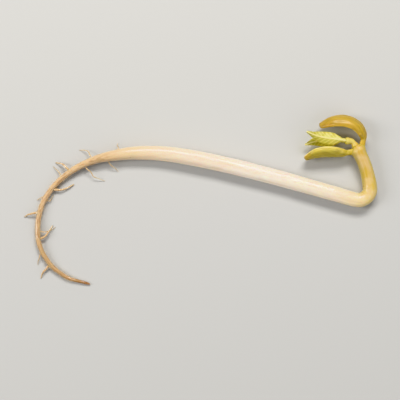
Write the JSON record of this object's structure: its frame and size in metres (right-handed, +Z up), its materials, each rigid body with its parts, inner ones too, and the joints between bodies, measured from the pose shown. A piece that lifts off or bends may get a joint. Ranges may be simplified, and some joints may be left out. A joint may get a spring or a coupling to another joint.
{
  "type": "mung bean sprout",
  "caption": "Picked mung bean sprout lying down: thick white stem with a hooked neck, open seed leaves, small first leaves and a thin tan curling root.",
  "frame": {"origin": "on the surface that the sprout lies on, under the middle of its bounding box", "axes": "+X along the stem, from the root's side to the head's side; +Y across it, on the side that the head folds back to; +Z up, away from the surface"},
  "size_m": [0.0718, 0.0346, 0.0046],
  "materials": {
    "stem_skin": "moist, slightly translucent white stem skin, yellower towards the hook",
    "root_skin": "dull tan root skin, browner towards the tip",
    "seed_leaf_skin": "satin olive-yellow seed leaf skin",
    "shoot_skin": "moist pale yellow-green shoot skin",
    "first_leaf_skin": "satin yellow-green young leaf"
  },
  "bodies": {
    "root": {"hypocotyl_stem": "stem_skin", "taproot": "root_skin", "cotyledon_upper": "seed_leaf_skin", "cotyledon_lower": "seed_leaf_skin", "epicotyl_shoot": "shoot_skin", "first_leaf_upper": "first_leaf_skin", "first_leaf_lower": "first_leaf_skin"}
  },
  "joints": []
}
